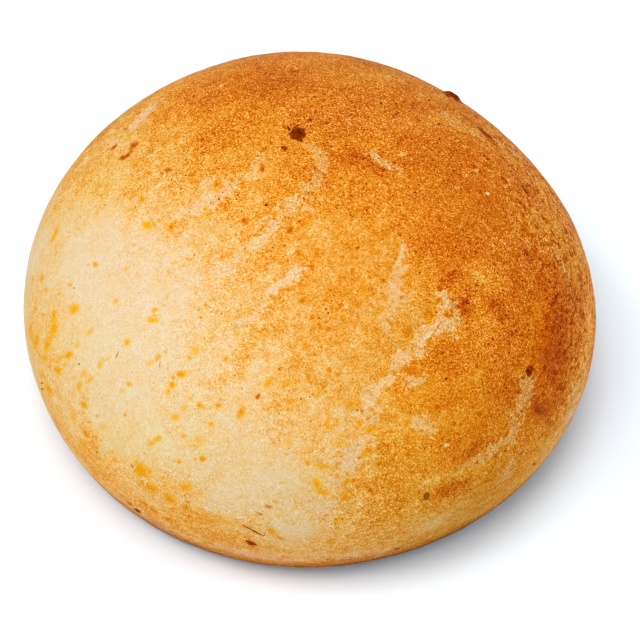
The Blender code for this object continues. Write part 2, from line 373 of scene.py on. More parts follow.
# pale streaks and patches where the dough was stretched: pixels of the run, half width in
# pixels, strength
streaks = {
    "middle": 1.1,                  # paleness along the middle of a run
    "fall": 0.5,                    # what is lost of it over a half width
    "away": 0.5,                    # strength where there is no run
    "runs": (
        (((260, 164), (250, 174), (238, 182)), 7.0, 0.40),
        (((238, 182), (224, 190), (208, 199), (190, 208)), 8.0, 0.75),
        (((212, 180), (204, 188)), 6.0, 0.6),
        (((296, 201), (289, 208)), 8.0, 0.65),
        (((289, 208), (278, 218), (269, 229)), 4.5, 0.5),
        (((272, 224), (266, 232)), 8.0, 0.85),
        (((262, 238), (250, 249), (238, 258), (226, 269), (211, 276)), 5.0, 0.75),
        (((299, 270), (290, 275), (281, 283), (274, 292)), 5.0, 1.0),
        (((262, 309), (250, 318), (238, 324)), 4.5, 0.85),
        (((228, 338), (219, 346)), 5.0, 0.5),
        (((313, 146), (321, 156), (323, 168)), 6.0, 0.42),
        (((317, 176), (312, 186), (308, 194)), 8.0, 0.48),
        (((304, 203), (309, 209)), 4.0, 0.5),
        (((373, 153), (380, 160), (388, 165), (396, 168)), 4.5, 0.6),
        (((404, 242), (402, 254), (399, 268)), 2.6, 0.75),
        (((399, 270), (397, 284), (396, 300)), 6.5, 0.7),
        (((396, 300), (392, 315), (387, 326)), 9.0, 0.45),
        (((444, 296), (447, 303)), 5.0, 0.75),
        (((450, 308), (455, 316), (446, 320)), 7.0, 0.75),
        (((438, 308), (440, 316)), 5.0, 0.6),
        (((446, 320), (435, 330), (424, 337)), 10.0, 0.85),
        (((416, 328), (420, 340)), 6.0, 0.6),
        (((424, 339), (414, 348), (404, 356)), 8.0, 0.85),
        (((404, 356), (396, 364), (389, 374)), 7.0, 0.70),
        (((389, 374), (378, 384), (371, 396)), 4.5, 0.72),
        (((371, 396), (368, 407)), 6.5, 0.85),
        (((367, 409), (360, 416), (374, 419)), 8.5, 0.75),
        (((348, 420), (342, 430)), 7.0, 0.30),
        (((365, 436), (356, 446)), 8.0, 0.65),
        (((354, 454), (344, 463)), 13.0, 0.8),
        (((342, 472), (332, 486)), 9.0, 0.38),
        (((327, 504), (322, 512)), 8.0, 0.7),
        (((408, 383), (419, 379)), 6.0, 0.55),
        (((418, 423), (430, 427)), 6.5, 0.6),
        (((527, 380), (529, 390), (524, 400)), 8.0, 0.50),
        (((522, 402), (517, 415), (516, 426), (510, 438), (500, 446), (488, 453)), 7.0, 0.50),
        (((488, 453), (478, 459), (468, 464)), 7.0, 0.42),
        (((466, 468), (452, 478)), 5.0, 0.25),
        (((511, 465), (504, 478)), 9.0, 0.45),
        (((556, 254), (561, 264), (567, 277)), 3.5, 0.40),
        (((444, 112), (456, 121), (468, 129), (483, 139)), 6.0, 0.34),
        (((498, 142), (512, 150), (523, 157)), 6.0, 0.33),
        (((152, 104), (146, 112), (139, 121), (133, 127)), 7.5, 0.85),
        (((109, 141), (117, 146)), 4.0, 0.5),
        (((266, 471), (276, 475)), 6.0, 0.6),
        (((308, 503), (326, 512)), 9.0, 0.5),
        (((576, 384), (573, 396)), 3.5, 0.5),
    ),
    # baked islands inside them: pixel x, y, length, width, turn
    "islands": (
        (427, 312, 14, 22, 10), (448, 315, 8, 9, 0), (406, 332, 15, 24, 10), (387, 356, 8, 10, 0),
        (385, 371, 8, 8, 0), (371, 430, 13, 9, 0), (359, 422, 8, 7, 0), (368, 452, 12, 9, 0),
        (216, 184, 6, 10, 20), (263, 169, 8, 8, 0), (233, 179, 6, 5, 0), (243, 187, 6, 5, 0),
        (398, 331, 8, 10, 0), (436, 341, 16, 6, 20),
    ),
}


def runDistance(points, run):
    least = np.full(len(points), veryFar)
    for a, b in zip(run, run[1:]):
        span = b - a
        along = np.clip(((points - a) @ span) / (span @ span), 0, 1)
        least = np.minimum(least, np.linalg.norm(points - a - along[:, None] * span, axis=1))
    return least


paleness = np.zeros(len(points))
streakCover = np.full(len(points), streaks["away"])
for run, halfWidth, strength in streaks["runs"]:
    places = [onCrust(x, y)[0] for x, y in run]
    away = runDistance(points, places) / (halfWidth * pixel)
    level = streaks["middle"] - streaks["fall"] * away
    streakCover = np.where(level > paleness, strength, streakCover)
    paleness = np.maximum(paleness, level)
for island in streaks["islands"]:
    paleness *= 1 - cloudAt(points, *island)
print("streaks:", len(streaks["runs"]), "runs")


# marks on the crust. Each row: pixel x, y, length, width in pixels, turn in degrees,
# tone (0 pale, 0.3 yellow, 0.5 orange, 0.7 red brown, 1 charred), strength
marks = {
    "claim": (0.6, 0.1),            # lead in mm and sunk, see addMark
    "keep": (2.2, 0.9),             # points kept round a mark: share of its size, and mm more
    "steepest": 0.4,                # a mark seen more slantwise than this spreads no further
    "nowhere": 9.0,                 # place and tone of a point that is near no mark
    "keySeed": 5,
    "keys": (0.1, 1.0),
    "blister": (1.2, 1.6, 0.90),    # share of the bump in length and width, tone
    "cheese": (
        (147, 225, 11, 8, 0, 0.32, 1.0), (142, 199, 7, 4, -60, 0.48, 0.8),
        (171, 227, 8, 5, 80, 0.50, 0.9), (167, 237, 3, 3, 0, 0.45, 0.7),
        (55, 234, 17, 4, 66, 0.36, 0.9), (97, 213, 6, 3, 80, 0.40, 0.5),
        (78, 229, 4, 3, 0, 0.40, 0.4), (95, 265, 6, 5, 30, 0.36, 0.9),
        (89, 265, 6, 3, 0, 0.34, 0.4), (42, 278, 8, 3, 75, 0.42, 0.8),
        (33, 279, 7, 2, 85, 0.42, 0.7), (70, 285, 5, 3, 0, 0.36, 0.8),
        (46, 290, 5, 4, 0, 0.42, 0.5), (59, 294, 3, 3, 0, 0.42, 0.5),
        (74, 309, 11, 9, 30, 0.32, 1.0), (54, 314, 10, 5, 80, 0.34, 0.9),
        (54, 329, 16, 8, 75, 0.33, 0.85), (43, 315, 3, 3, 0, 0.50, 0.6),
        (36, 309, 3, 3, 0, 0.52, 0.5), (47, 345, 15, 6, 75, 0.34, 0.9),
        (45, 357, 9, 5, 70, 0.34, 0.7), (36, 342, 14, 6, 80, 0.42, 0.7),
        (30, 329, 13, 3, 85, 0.42, 0.6), (155, 310, 7, 4, 10, 0.36, 0.8),
        (153, 320, 11, 6, 0, 0.31, 1.0), (116, 301, 7, 4, 50, 0.34, 0.6),
        (164, 305, 4, 3, 0, 0.42, 0.5), (167, 297, 10, 3, 60, 0.34, 0.4),
        (196, 293, 3, 3, 0, 0.40, 0.7), (206, 305, 4, 3, 0, 0.48, 0.7),
        (199, 310, 3, 2, 0, 0.62, 0.5), (126, 269, 5, 4, 70, 0.36, 0.5),
        (134, 245, 4, 3, 60, 0.52, 0.4), (142, 249, 5, 3, 0, 0.40, 0.5),
        (127, 342, 7, 6, 70, 0.31, 0.8), (90, 332, 11, 4, 50, 0.34, 0.5),
        (77, 345, 7, 5, 40, 0.33, 0.5), (209, 279, 5, 3, 0, 0.32, 0.6),
        (175, 263, 6, 3, 10, 0.38, 0.5), (169, 272, 10, 3, 80, 0.38, 0.35),
        (196, 218, 6, 4, 0, 0.46, 0.6), (207, 216, 5, 5, 0, 0.44, 0.6),
        (193, 181, 5, 4, 0, 0.62, 0.6), (216, 184, 9, 5, 60, 0.56, 0.7),
        (128, 211, 8, 3, 30, 0.36, 0.5), (243, 187, 5, 4, 0, 0.50, 0.7),
        (232, 180, 5, 4, 0, 0.52, 0.7), (263, 169, 7, 6, 0, 0.66, 1.0),
        (245, 221, 7, 6, 0, 0.64, 1.0), (290, 230, 8, 6, 80, 0.62, 1.0),
        (275, 214, 6, 5, 40, 0.52, 0.8), (305, 223, 10, 4, -20, 0.52, 0.6),
        (268, 251, 5, 3, 0, 0.60, 0.6), (305, 345, 8, 5, 80, 0.50, 0.7),
        (363, 288, 14, 7, 85, 0.48, 0.6), (349, 209, 4, 3, 0, 0.60, 0.6),
        (69, 355, 9, 6, 30, 0.38, 0.95), (60, 358, 5, 4, 80, 0.34, 0.8),
        (58, 371, 11, 9, 40, 0.33, 0.9), (57, 374, 6, 4, -60, 0.46, 0.8),
        (64, 365, 6, 4, 40, 0.34, 0.5), (100, 364, 9, 5, 85, 0.32, 0.65),
        (107, 359, 8, 3, 25, 0.34, 0.4), (83, 374, 10, 6, 50, 0.34, 0.5),
        (90, 380, 9, 5, 30, 0.36, 0.5), (74, 378, 4, 3, 0, 0.34, 0.6),
        (79, 386, 9, 5, 75, 0.33, 0.9), (49, 389, 11, 5, -50, 0.38, 0.9),
        (84, 405, 8, 5, -50, 0.44, 0.85), (83, 413, 4, 3, 0, 0.40, 0.5),
        (74, 416, 13, 5, 80, 0.40, 0.45), (97, 416, 3, 3, 0, 0.44, 0.8),
        (89, 422, 4, 3, 0, 0.46, 0.6), (125, 415, 3, 3, 0, 0.46, 0.8),
        (103, 427, 9, 7, 40, 0.40, 0.3), (86, 434, 10, 5, -60, 0.50, 0.7),
        (84, 445, 14, 8, -70, 0.42, 0.45), (112, 452, 5, 4, 0, 0.42, 0.4),
        (115, 460, 6, 4, -40, 0.42, 0.5), (129, 384, 6, 5, 0, 0.34, 0.7),
        (122, 391, 6, 4, 40, 0.34, 0.4), (158, 358, 9, 5, 70, 0.36, 0.7),
        (150, 363, 12, 6, 30, 0.34, 0.35), (165, 352, 4, 3, 0, 0.34, 0.6),
        (190, 357, 6, 5, 40, 0.42, 0.7), (195, 351, 10, 7, 50, 0.36, 0.5),
        (181, 374, 12, 6, 10, 0.40, 1.0), (172, 378, 9, 3, 30, 0.42, 0.7),
        (172, 384, 10, 6, 50, 0.38, 0.85), (168, 391, 9, 6, 50, 0.34, 0.45),
        (199, 405, 5, 5, 0, 0.42, 0.9), (218, 406, 6, 5, 0, 0.44, 0.8),
        (205, 408, 4, 3, 0, 0.38, 0.4), (190, 399, 4, 4, 0, 0.34, 0.5),
        (184, 408, 9, 5, 40, 0.33, 0.5), (175, 417, 9, 7, 0, 0.30, 0.8),
        (211, 424, 6, 5, 0, 0.32, 0.75), (184, 436, 6, 3, 10, 0.42, 0.8),
        (157, 439, 9, 5, 25, 0.36, 0.85), (152, 443, 8, 5, 30, 0.32, 0.8),
        (198, 441, 15, 11, 30, 0.30, 0.45), (196, 445, 12, 5, 0, 0.32, 0.7),
        (202, 459, 9, 5, 0, 0.44, 1.0), (196, 459, 6, 3, 0, 0.38, 0.6),
        (179, 462, 5, 4, 10, 0.40, 0.8), (141, 471, 19, 13, -45, 0.38, 0.95),
        (143, 482, 12, 7, -60, 0.44, 0.9), (133, 467, 6, 3, -50, 0.58, 0.7),
        (150, 471, 6, 5, 0, 0.40, 0.6), (162, 478, 5, 4, 0, 0.38, 0.6),
        (186, 487, 12, 8, 0, 0.38, 0.9), (172, 488, 5, 4, 0, 0.36, 0.7),
        (150, 487, 19, 8, -25, 0.44, 0.75), (170, 499, 15, 9, -40, 0.43, 0.85),
        (172, 508, 6, 5, -30, 0.54, 0.6), (186, 507, 9, 5, -30, 0.50, 0.7),
        (154, 511, 11, 4, -25, 0.54, 0.7), (145, 504, 9, 3, -35, 0.54, 0.6),
        (168, 519, 11, 3, -20, 0.56, 0.6), (189, 516, 6, 3, -20, 0.60, 0.6),
        (226, 359, 5, 5, 0, 0.42, 0.9), (269, 383, 11, 7, 50, 0.40, 0.8),
        (287, 383, 14, 8, 20, 0.44, 0.5), (241, 412, 13, 6, 75, 0.46, 0.8),
        (246, 358, 6, 5, 40, 0.44, 0.4), (308, 377, 7, 4, 80, 0.52, 0.7),
        (291, 402, 6, 5, 0, 0.44, 0.7), (279, 405, 5, 4, 0, 0.44, 0.4),
        (329, 418, 12, 5, 85, 0.42, 0.5), (328, 427, 10, 7, 0, 0.40, 0.4),
        (336, 421, 8, 5, 80, 0.42, 0.6), (352, 404, 12, 9, 30, 0.45, 0.5),
        (371, 430, 12, 7, 20, 0.46, 0.6), (359, 422, 6, 5, 0, 0.48, 0.6),
        (342, 436, 5, 4, 0, 0.38, 0.5), (357, 437, 6, 4, 80, 0.40, 0.4),
        (367, 453, 10, 7, 0, 0.46, 0.5), (340, 444, 9, 3, 0, 0.40, 0.4),
        (308, 463, 6, 4, -30, 0.46, 0.8), (322, 466, 16, 5, -10, 0.36, 0.65),
        (317, 484, 14, 8, -60, 0.34, 0.8), (325, 494, 8, 5, -20, 0.34, 0.8),
        (333, 497, 5, 4, 0, 0.36, 0.6), (345, 497, 10, 7, 0, 0.46, 0.8),
        (347, 481, 9, 5, 0, 0.42, 0.7), (338, 476, 6, 4, -30, 0.50, 0.6),
        (282, 483, 6, 3, 0, 0.34, 0.5), (288, 443, 11, 9, 30, 0.38, 0.35),
        (275, 502, 7, 3, -10, 0.42, 0.7), (271, 531, 11, 7, -40, 0.44, 0.7),
        (280, 538, 7, 3, -20, 0.54, 0.6), (331, 541, 11, 5, 15, 0.48, 0.6),
        (339, 520, 11, 7, 20, 0.42, 0.6), (215, 519, 30, 10, -10, 0.48, 0.35),
        (427, 312, 12, 18, 10, 0.54, 0.5), (447, 315, 5, 7, 60, 0.62, 0.9),
        (406, 330, 11, 18, 10, 0.54, 0.5), (411, 368, 12, 8, 30, 0.54, 0.6),
        (443, 341, 4, 3, 0, 0.70, 0.8),
    ),
    "toasted": (
        (125, 157, 12, 4.5, 28, 0.72, 1.0), (114, 147, 8, 3, 45, 0.70, 1.0),
        (134, 145, 9, 7, 40, 0.68, 0.8), (168, 170, 8, 5, 10, 0.66, 0.8),
        (126, 129, 4, 3, 0, 0.68, 0.6), (463, 302, 9, 7, -40, 0.72, 0.6),
        (465, 311, 8, 7, 30, 0.72, 0.5), (493, 304, 8, 7, 0, 0.72, 0.5),
        (450, 275, 8, 5, 20, 0.72, 0.4), (502, 318, 9, 6, 20, 0.74, 0.6),
        (353, 158, 8, 3, 60, 0.72, 0.7), (346, 161, 8, 3, 35, 0.66, 0.6),
        (374, 172, 10, 4, -30, 0.70, 0.6), (294, 71, 11, 3, 0, 0.72, 0.8),
        (215, 79, 12, 6, 15, 0.64, 0.4), (255, 108, 9, 5, 0, 0.66, 0.5),
        (406, 89, 16, 5, -20, 0.66, 0.4), (486, 134, 21, 4.5, -42, 0.79, 1.0),
        (468, 119, 20, 4, -38, 0.70, 0.6), (258, 396, 6, 4, 65, 0.68, 0.8),
        (540, 410, 18, 11, -30, 0.76, 0.55), (548, 422, 11, 8, -40, 0.74, 0.45),
        (546, 358, 30, 14, 80, 0.76, 0.35), (470, 456, 22, 6, 35, 0.66, 0.5),
        (477, 446, 12, 6, 40, 0.66, 0.5), (461, 485, 24, 5, 35, 0.70, 0.25),
        (446, 494, 12, 5, 30, 0.76, 0.3), (130, 504, 9, 3, -35, 0.62, 0.9),
        (137, 510, 9, 3, -35, 0.82, 0.9), (308, 171, 5, 3, 0, 0.62, 0.6),
    ),
    "charred": (
        (298, 134, 17, 14, -28, 0.88, 1.0), (289, 129, 7, 2.5, -60, 0.88, 0.9),
        (284, 148, 6, 4.5, -20, 0.84, 1.0), (266, 205, 3.5, 3, 0, 0.86, 0.9),
        (266, 168, 2.5, 2.5, 0, 0.90, 0.9), (529, 371, 12, 8, 65, 0.85, 1.0),
        (523, 377, 5, 4, 40, 0.84, 0.8), (519, 365, 8, 4, 20, 0.70, 0.6),
        (426, 496, 8, 7, 40, 0.93, 0.55),
        (251, 543, 11, 6, -25, 0.82, 0.9), (247, 537, 7, 3, -25, 0.74, 0.7),
        (269, 507, 9, 4, -5, 0.64, 0.6), (252, 530, 24, 1.6, -29, 0.84, 0.7),
        (260, 514, 6, 2, -20, 0.72, 0.5), (117, 355, 8, 1.5, 65, 0.74, 0.5),
        (160, 364, 9, 1.5, 82, 0.66, 0.4), (580, 278, 9, 5, -60, 0.78, 0.6),
        (555, 267, 6, 4, -60, 0.80, 0.6), (566, 232, 6, 4, -60, 0.78, 0.6),
        (74, 288, 1.6, 1.6, 0, 1.0, 0.9), (79, 364, 1.6, 1.6, 0, 1.0, 0.9),
        (97, 452, 2, 2, 0, 0.92, 0.8), (42, 389, 2.5, 2, 0, 0.8, 0.8),
        (42, 383, 2.5, 2, 0, 0.8, 0.7), (326, 309, 2, 2, 0, 0.94, 0.9),
        (328, 313, 2, 2, 0, 0.94, 0.9), (319, 318, 2, 2, 0, 0.94, 0.9),
        (308, 193, 2.2, 2.2, 0, 0.92, 0.9), (219, 199, 2, 2, 0, 0.88, 0.8),
        (352, 217, 2, 2, 0, 0.92, 0.8), (301, 399, 2, 2, 0, 0.86, 0.8),
        (396, 104, 3, 2.4, 0, 0.94, 0.8), (396, 114, 3, 2.4, 0, 0.94, 0.7),
        (439, 124, 2.6, 2.4, 0, 0.94, 0.8), (381, 103, 2.6, 2, 0, 0.94, 0.7),
        (315, 97, 3, 2, 0, 0.94, 0.7), (429, 100, 3, 2, -20, 0.9, 0.7),
        (488, 159, 4, 3, -30, 0.84, 0.7), (446, 379, 3, 3, 0, 0.86, 0.8),
        (506, 388, 3, 2.5, 0, 0.88, 0.8), (534, 464, 3, 2.5, 0, 0.84, 0.7),
        (397, 549, 7, 2, 15, 0.86, 0.7), (369, 156, 2.2, 2.2, 0, 0.92, 0.8),
    ),
    "pale": (
        (462, 226, 8, 5, 0, 0.12, 0.4), (457, 188, 5, 4, 0, 0.04, 0.6),
        (476, 171, 6, 4, 0, 0.04, 0.5), (488, 194, 4, 3, -30, 0.0, 0.8),
        (527, 247, 5, 4, -40, 0.04, 0.5), (403, 154, 6, 4, 0, 0.06, 0.5),
        (247, 113, 3, 3, 0, 0.04, 0.8), (257, 111, 3, 3, 0, 0.04, 0.8),
        (222, 86, 5, 2.5, 10, 0.04, 0.8), (481, 446, 3, 3, 0, 0.02, 0.9),
        (447, 445, 4, 3, 0, 0.06, 0.8), (478, 281, 14, 12, 0, 0.20, 0.25),
    ),
}

# marks on the sides that the photograph doesn't show, at random places
scattered = {
    "seed": 12,
    "count": 190,
    "middle": (0.0, 0.0, 14.0),     # they are thrown at the crust from here outwards, mm
    "reach": 90.0,
    "rises": (-0.3, 1.2),           # radians
    "lowest": 1.5,                  # none under this height, mm
    "hidden": -0.12,                # none where the crust faces the camera more than this
    "sizes": (0.35, 1.5),           # mm
    "shapes": (0.45, 1.0),          # width as a share of the length
    "strengths": (0.3, 0.9),
    "tones": (0.34, 0.42),          # on pale dough, and what full browning adds
    "warmths": (-0.05, 0.08),
}

markPlace = np.full((len(points), 3), marks["nowhere"])
markStrength = np.zeros(len(points))
markKey = np.zeros(len(points))
markGap = np.full(len(points), veryFar)
markKeys = random.Random(marks["keySeed"])


def addMark(centre, axisA, axisB, length, width, spread, tone, strength, lead=0.0, sunk=1.0):
    # keeps, for the points round a mark, where they lie across and along it. Lead is how far
    # it reaches into its neighbours, sunk how much a distance into the picture counts
    offset = points - centre
    squared = (offset**2).sum(1)
    size = max(length, width) / 2
    away = np.sqrt(squared - (1 - sunk) * (offset @ viewInto) ** 2)
    gap = away - size - lead
    share, more = marks["keep"]
    near = (squared < (share * size * spread + more) ** 2) & (gap < markGap)
    offset = offset[near]
    markPlace[near, 0] = offset @ axisA / (length / 2)
    markPlace[near, 1] = offset @ axisB / (width / 2)
    markPlace[near, 2] = tone
    markStrength[near] = strength
    markKey[near] = markKeys.uniform(*marks["keys"])
    markGap[near] = gap[near]


def addPhotoMark(x, y, length, width, turn, tone, strength):
    centre, facing = onCrust(x, y)
    axisA, axisB = pictureAxes(turn)
    spread = 1 / max(marks["steepest"], abs(float(facing @ viewInto)))
    size = (length * pixel, width * pixel)
    addMark(centre, axisA, axisB, *size, spread, tone, strength, *marks["claim"])


def addBlister():
    # the first of the bumps is burnt all over. It sits on the outline, so its mark is laid
    # along the crust and not along the picture
    x, y, length, width, turn, _ = crust["bumps"][0]
    centre, facing = onCrust(x, y)
    axisA, _ = pictureAxes(turn)
    axisA = axisA - facing * (axisA @ facing)
    axisA /= np.linalg.norm(axisA)
    axisB = np.cross(facing, axisA)
    shareA, shareB, tone = marks["blister"]
    size = (2 * length * shareA, 2 * width * shareB)
    addMark(centre, axisA, axisB, *size, 1.0, tone, 1.0, *marks["claim"])


def addScatteredMarks():
    chance = random.Random(scattered["seed"])
    middle = Vector(scattered["middle"])
    toneLow, toneMore = scattered["tones"]
    low, high = scattered["sizes"]
    placed = 0
    while placed < scattered["count"]:
        around = chance.uniform(0, 2 * math.pi)
        rise = chance.uniform(*scattered["rises"])
        size = chance.uniform(0, 1) ** 2
        turn = chance.uniform(0, math.pi)
        shape = chance.uniform(*scattered["shapes"])
        strength = chance.uniform(*scattered["strengths"])
        warm = chance.uniform(*scattered["warmths"])
        out = towards(rise, around)
        place, facing, _, _ = surface.ray_cast(middle + out * scattered["reach"], -out)
        if place is None or place.z < scattered["lowest"]:
            continue
        if facing.dot(Vector(viewInto)) < scattered["hidden"]:
            continue
        level = facing.cross((0, 0, 1)).normalized()
        upward = level.cross(facing)
        axisA = level * math.cos(turn) + upward * math.sin(turn)
        axisB = upward * math.cos(turn) - level * math.sin(turn)
        place, axisA, axisB = np.array(place), np.array(axisA), np.array(axisB)
        nearest = int(np.argmin(((points - place) ** 2).sum(1)))
        length = low + (high - low) * size
        tone = toneLow + toneMore * max(0.0, min(1.0, float(baked[nearest]))) + warm
        addMark(place, axisA, axisB, length, length * shape, 1.0, tone, strength)
        placed += 1
    return placed


print("marks: scattered", addScatteredMarks())
addBlister()
for kind in ("cheese", "toasted", "charred", "pale"):
    for row in marks[kind]:
        addPhotoMark(*row)
    print("marks:", kind, len(marks[kind]))


def reliefOf(points):
    # small lumps, less on the pale side and none under the base, and then the bumps
    relief = np.zeros(len(points))
    for width, height, shift in crust["lumps"]:
        relief += height * grainNoise(points, width, 1, shift)
    pale = crust["paleLumps"]
    fade = smoothStep(0.0, crust["levelBelow"], points[:, 2])
    relief *= fade * (pale + (1 - pale) * smoothStep(*crust["lumpsBaked"], baked))
    for x, y, length, width, turn, height in crust["bumps"]:
        place, _ = onCrust(x, y)
        offset = points - place
        along = offset @ pictureAxes(turn)[0]
        across = (offset**2).sum(1) - along**2
        relief += height * np.exp(-((along / length) ** 2 + across / width**2) ** 2)
    return relief


relief = reliefOf(points)
points = points + normals * relief[:, None]
mesh.vertices.foreach_set("co", (points * mm).ravel())
mesh.update()
print("crust: relief from", round(float(relief.min()), 3), "to", round(float(relief.max()), 3), "mm")

# what the material reads at each point of the mesh
layers = {
    "baked": baked, "pale": paleness, "paleCover": streakCover,
    "paintedShading": paintedShading, "cool": cool, "rough": rough, "worn": worn,
}
for name, values in layers.items():
    layer = mesh.attributes.new(name, "FLOAT", "POINT")
    layer.data.foreach_set("value", values.astype(np.float32))
# where two marks meet in a face, their keys differ from corner to corner. The material sees
# that as a mean of squares that isn't the square of the mean
extra = np.stack([markStrength, markKey, markKey**2], 1)
for name, values in (("mark", markPlace), ("markExtra", extra)):
    layer = mesh.attributes.new(name, "FLOAT_VECTOR", "POINT")
    layer.data.foreach_set("vector", values.astype(np.float32).ravel())


# colour of the crust by how far it is baked, the marks on it, and its grain
colours = {
    "light": (1.10, 1.23, 1.36),        # red, green and blue light that falls on the top
    "ramp": (
        (-0.1, (241, 215, 177)), (0.0, (241, 209, 163)), (0.1, (243, 202, 141)),
        (0.2, (245, 192, 117)), (0.3, (245, 181, 94)), (0.4, (243, 169, 73)),
        (0.5, (240, 157, 54)), (0.6, (235, 145, 38)), (0.7, (229, 131, 26)),
        (0.8, (221, 118, 16)), (0.9, (211, 105, 9)), (1.0, (199, 91, 5)),
        (1.1, (182, 77, 3)),
    ),
    "gamma": 2.2,
    "streak": (241, 199, 150),
    "streakRagged": (0.6, 1.2, 0.8),    # how much grain, lump and blotch fray the streaks
    "streakEdge": (0.28, 1.0),
    "streakGrain": 0.7,                 # share of the grain that shows on them
    "marks": (
        (0.00, (253, 226, 184)), (0.20, (250, 200, 96)), (0.32, (252, 172, 24)),
        (0.42, (247, 160, 18)), (0.52, (238, 138, 16)), (0.62, (216, 110, 18)),
        (0.72, (186, 82, 10)), (0.82, (152, 58, 6)), (0.92, (112, 38, 6)),
        (1.00, (70, 26, 6)),
    ),
    "markRagged": (0.6, 1.3),           # how much grain and lump fray the marks
    "markDark": (0.55, 0.8),            # tone at which a mark turns from soft to hard
    "softEdge": (0.2, 1.75),            # where it fades out, in half widths
    "hardEdge": (0.7, 1.20),
    "markCover": 1.1,                   # more than 1 fills the middle
    "markTone": (0.2, 0.05, -0.09),     # tone that grain, the middle and a half width outwards add
    "markOut": 1.4,                     # no change of tone past this
    "markGrain": 0.4,                   # share of the crust's grain that shows on them
    "markSeam": (0.0005, 0.006),        # difference of keys at which a face is left unmarked
    "fine": 0.22, "grain": 0.42, "lump": 0.8, "blotch": 1.7,    # widths of the noise in mm
    "grainTwist": 0.6,
    "browned": (-0.05, 0.45),           # baking from pale dough to golden crust
    "wellBaked": (0.35, 0.75),          # and from golden to brown crust
    # how much fine, grain, lump and blotch shift the baking, and the share of that on pale
    # dough and on brown crust
    "bakingShift": (0.08, 0.14, 0.28, 0.38),
    "bakingShares": (0.45, 0.4),
    # how much fine, grain and lump shift the lightness, partly the crust's own speckle and partly
    # painted micro-shade and glints, and the shares of that
    "paintedGrainShading": (-0.48, -0.12, -0.05),
    "paintedGrainShares": (0.25, 1.45),
    "goldTint": (0.80, 0.95, 1.0),      # that shift in red, green and blue
    "brownTint": (0.80, 1.06, 1.45),    # the same on brown crust
    "relief": (0.02, 0.07, -0.10),      # height of grain, lump and wrinkles, mm
    "reliefShares": (0.4, 1.0),
    "wrinkle": 0.85,                    # width of the wrinkles, mm
    "wrinkleFrom": (0.50, 0.66),        # part of the noise that makes them
    "wrinkleLevel": 0.3,                # skin between them is lighter by this share
    "wrinkleTwist": 0.5,
    "wrinkleRun": 28.0,                 # smaller draws them out more
    # painted shade in the cracks of the wrinkles
    "wrinklePaintedShade": -0.13,              # how much they shift the lightness
    "flatBelow": 14.0,                  # under this height the grain is drawn out level
    "flatness": 1.2,
    # dots: width of a cell, radius (both mm), share of the cells, how much darker or lighter
    "darkDots": (0.75, 0.12, 0.45, -0.42),
    # the light dots are painted glints
    "paintedGlints": (0.7, 0.12, 0.5, 0.13),
    "crumbs": (2.0, 0.38, 0.5, 0.30),   # these shift the baking
    "crumbsFrom": (0.1, 0.35),          # baking at which they come in
    "dotSizes": (0.7, 1.3),             # as shares of the radius
    "dotEdge": (0.4, 1.3),
    "roughness": 0.6,
    "gloss": 0.01,
}


